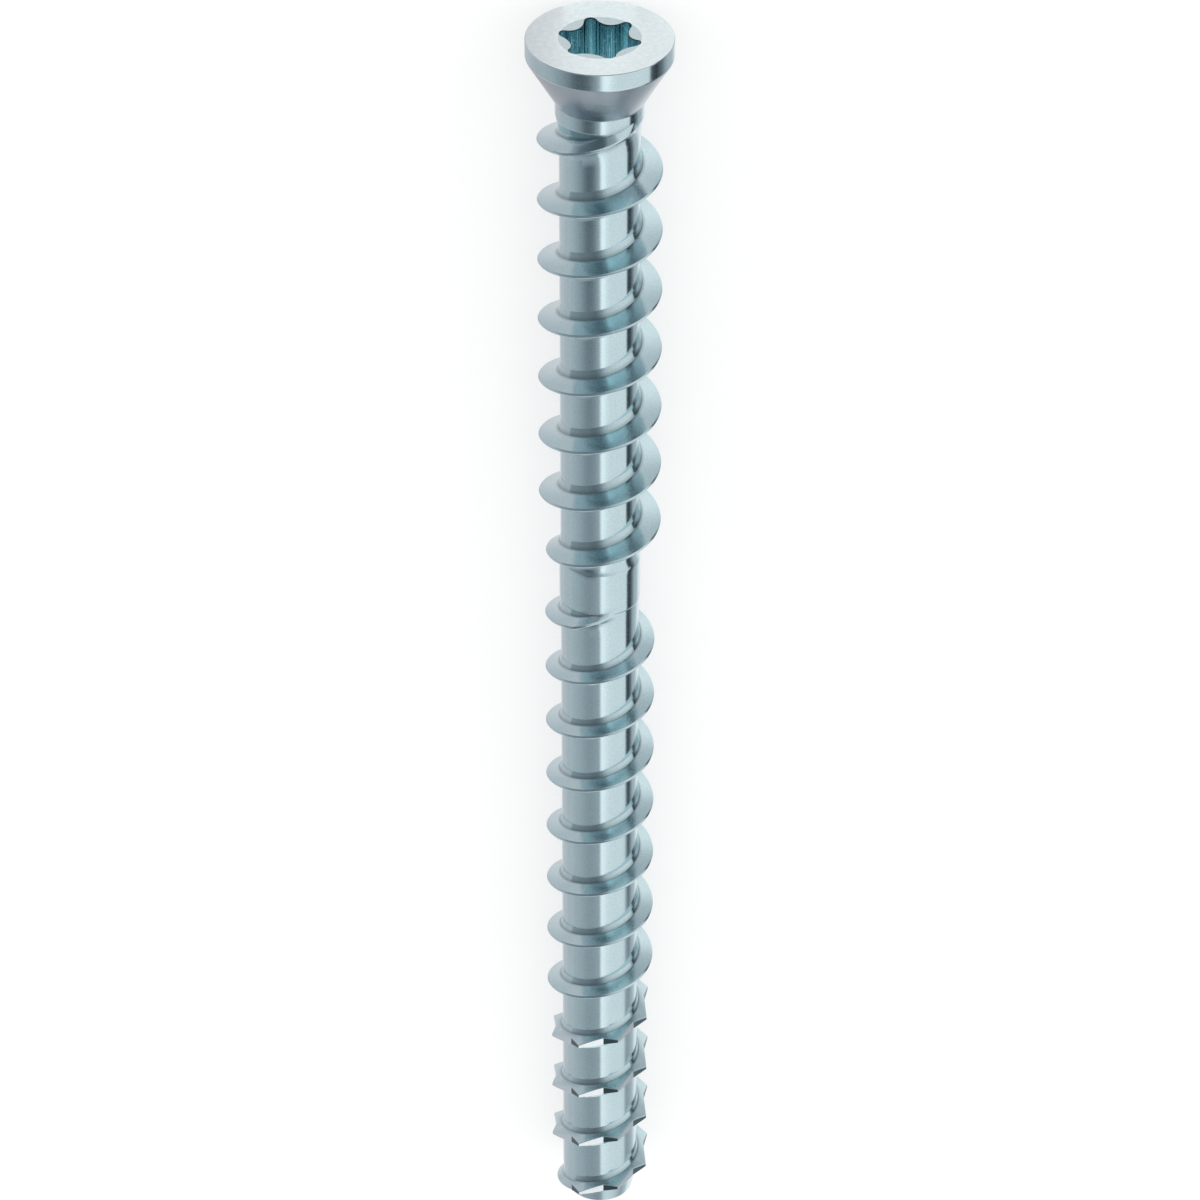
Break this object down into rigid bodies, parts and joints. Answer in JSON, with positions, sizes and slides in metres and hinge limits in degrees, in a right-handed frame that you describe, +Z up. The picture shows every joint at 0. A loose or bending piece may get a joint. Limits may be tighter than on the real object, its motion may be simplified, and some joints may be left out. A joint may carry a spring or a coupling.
{
  "type": "concrete screw",
  "caption": "Countersunk concrete screw with a hexalobular socket, a coarse rear thread, a plain land and a front thread notched into cutting teeth.",
  "frame": {"origin": "ground level, below the middle of the screw's outline as it lies at rest", "axes": "+Z up; the screw lies along X with its head towards -X and its tip towards +X, leaning 0.8 degrees on its head's rim and its front thread"},
  "size_m": [0.1, 0.01, 0.0101],
  "materials": {
    "zinc_plated_steel": "bright zinc plate with a light blue passivation, fine grain on the head's face"
  },
  "bodies": {
    "root": {"concrete_screw": "zinc_plated_steel"}
  },
  "joints": []
}
